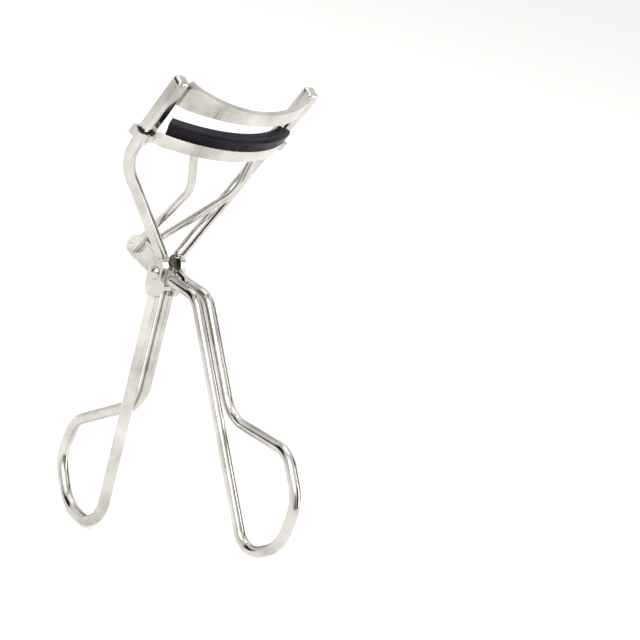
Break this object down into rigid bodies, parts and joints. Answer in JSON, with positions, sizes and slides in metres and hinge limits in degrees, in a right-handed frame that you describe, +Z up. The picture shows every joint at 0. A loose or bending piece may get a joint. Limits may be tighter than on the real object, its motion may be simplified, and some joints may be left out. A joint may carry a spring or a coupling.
{
  "type": "eyelash curler",
  "caption": "Hand-held eyelash curler: scissor-like bent wire handles with finger loops slide a padded lower jaw up two posts against a curved upper plate.",
  "frame": {"origin": "centre of the lever's pivot rivet, midway between its two heads", "axes": "+X along the pivot and across the jaws, +Z up the frame's handle towards the jaws, -Y to the front, the outside of the jaws' curve"},
  "size_m": [0.0388, 0.0783, 0.1098],
  "materials": {
    "nickel_wire": "polished nickel plate",
    "nickel_plate": "polished nickel plate",
    "nickel_rivet": "polished nickel plate",
    "silicone": "moulded, slightly glossy"
  },
  "bodies": {
    "frame": {"frame_wire": "nickel_wire", "upper_jaw_plate": "nickel_plate", "pivot_rivet": "nickel_rivet", "stop_bar": "nickel_plate"},
    "lever": {"lever_wire": "nickel_wire", "cross_pin": "nickel_rivet"},
    "lower_jaw": {"lower_jaw_plate": "nickel_plate", "silicone_pad": "silicone", "fork_leg_left": "nickel_wire", "fork_leg_right": "nickel_wire"}
  },
  "joints": [
    {"name": "lever_pivot", "type": "hinge", "parent": "frame", "child": "lever", "pos_m": [0, 0, 0], "axis": [1, 0, 0], "range_deg": [0, 20]},
    {"name": "jaw_pin", "type": "hinge", "parent": "lever", "child": "lower_jaw", "pos_m": [0, 0.0103, 0.002], "axis": [1, 0, 0], "range_deg": [-18.7, 0]}
  ],
  "couplings": [
    {"joint": "jaw_pin", "follows": "lever_pivot", "ratio": -0.935}
  ]
}
